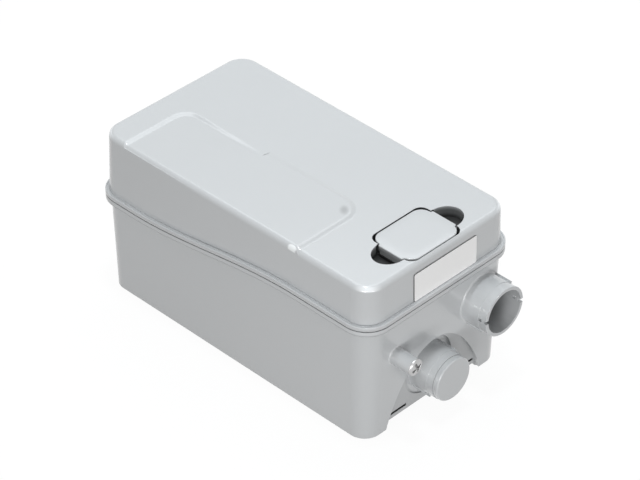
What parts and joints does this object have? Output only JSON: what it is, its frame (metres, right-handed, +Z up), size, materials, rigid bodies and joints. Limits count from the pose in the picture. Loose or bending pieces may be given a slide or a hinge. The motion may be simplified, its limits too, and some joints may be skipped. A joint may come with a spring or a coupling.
{
  "type": "wastewater lifting station",
  "caption": "Compact box-shaped wastewater lifting station with a lift-off cover, service hatch, plugged low inlet and high discharge port.",
  "frame": {"origin": "middle of the bounding box on the floor plane that the rubber feet stand on", "axes": "+X along the box towards the pipe ports, +Z up, so the panel side of the cover looks to -Y"},
  "size_m": [0.3244, 0.166, 0.15],
  "materials": {
    "housing_plastic": "satin moulded light grey",
    "label_white": "blank off-white film",
    "grey_plastic": "satin grey",
    "black_plastic": "matt black",
    "rubber": "matt black",
    "steel": "bright",
    "stainless": "ground",
    "aluminium_cast": "cast",
    "motor_can": "dark enamel",
    "core_steel": "stacked sheet",
    "copper": "enamelled wire",
    "carbon": "porous black",
    "board_green": "solder mask",
    "capacitor_shell": "drawn"
  },
  "bodies": {
    "housing": {"tank": "housing_plastic", "discharge_stub": "housing_plastic", "inlet_stub": "housing_plastic", "screw_boss": "housing_plastic", "gland_pad": "housing_plastic", "chassis": "grey_plastic", "boss_screw": "housing_plastic", "rim_seal": "rubber", "cover_screws": "stainless", "rubber_feet": "rubber", "cable_gland": "grey_plastic", "gland_nut": "grey_plastic", "motor_housing": "motor_can", "rear_shield": "aluminium_cast", "front_shield": "aluminium_cast", "stator_core": "core_steel", "stator_windings": "copper", "front_bearing": "steel", "rear_bearing": "steel", "shaft_seal": "rubber", "motor_screws": "stainless", "volute_gasket": "rubber", "volute_casing": "black_plastic", "volute_screws": "stainless", "suction_strainer": "grey_plastic", "discharge_pipe": "grey_plastic", "valve_body": "grey_plastic", "flap_pin": "stainless", "outlet_seal": "rubber", "pressure_bell": "grey_plastic", "level_switch": "black_plastic", "capacitor": "capacitor_shell", "capacitor_clamp": "grey_plastic", "control_box": "grey_plastic", "control_lid": "grey_plastic", "circuit_board": "board_green", "terminal_block": "black_plastic"},
    "cover": {"cover": "housing_plastic", "partition": "grey_plastic", "label_plate": "label_white", "hatch_seal": "rubber", "filter_basket": "grey_plastic", "carbon_filter": "carbon"},
    "hatch": {"hatch": "housing_plastic"},
    "plug": {"inlet_plug": "housing_plastic", "plug_ring": "rubber"},
    "rotor": {"motor_shaft": "stainless", "rotor_core": "core_steel", "impeller": "black_plastic", "impeller_nut": "stainless"},
    "flap": {"check_flap": "rubber"}
  },
  "joints": [
    {"name": "cover_lift", "type": "slide", "parent": "housing", "child": "cover", "axis": [0, 0, 1], "range_m": [0, 0.15]},
    {"name": "hatch_lift", "type": "slide", "parent": "cover", "child": "hatch", "axis": [0, 0, 1], "range_m": [0, 0.06]},
    {"name": "plug_pull", "type": "slide", "parent": "housing", "child": "plug", "axis": [1, 0, 0], "range_m": [0, 0.04]},
    {"name": "rotor_spin", "type": "hinge", "parent": "housing", "child": "rotor", "pos_m": [-0.0582, 0.0276, 0.05], "axis": [1, 0, 0], "continuous": true},
    {"name": "flap_swing", "type": "hinge", "parent": "housing", "child": "flap", "pos_m": [0.0644, 0.0476, 0.0868], "axis": [0, -1, 0], "range_deg": [0, 60]}
  ]
}
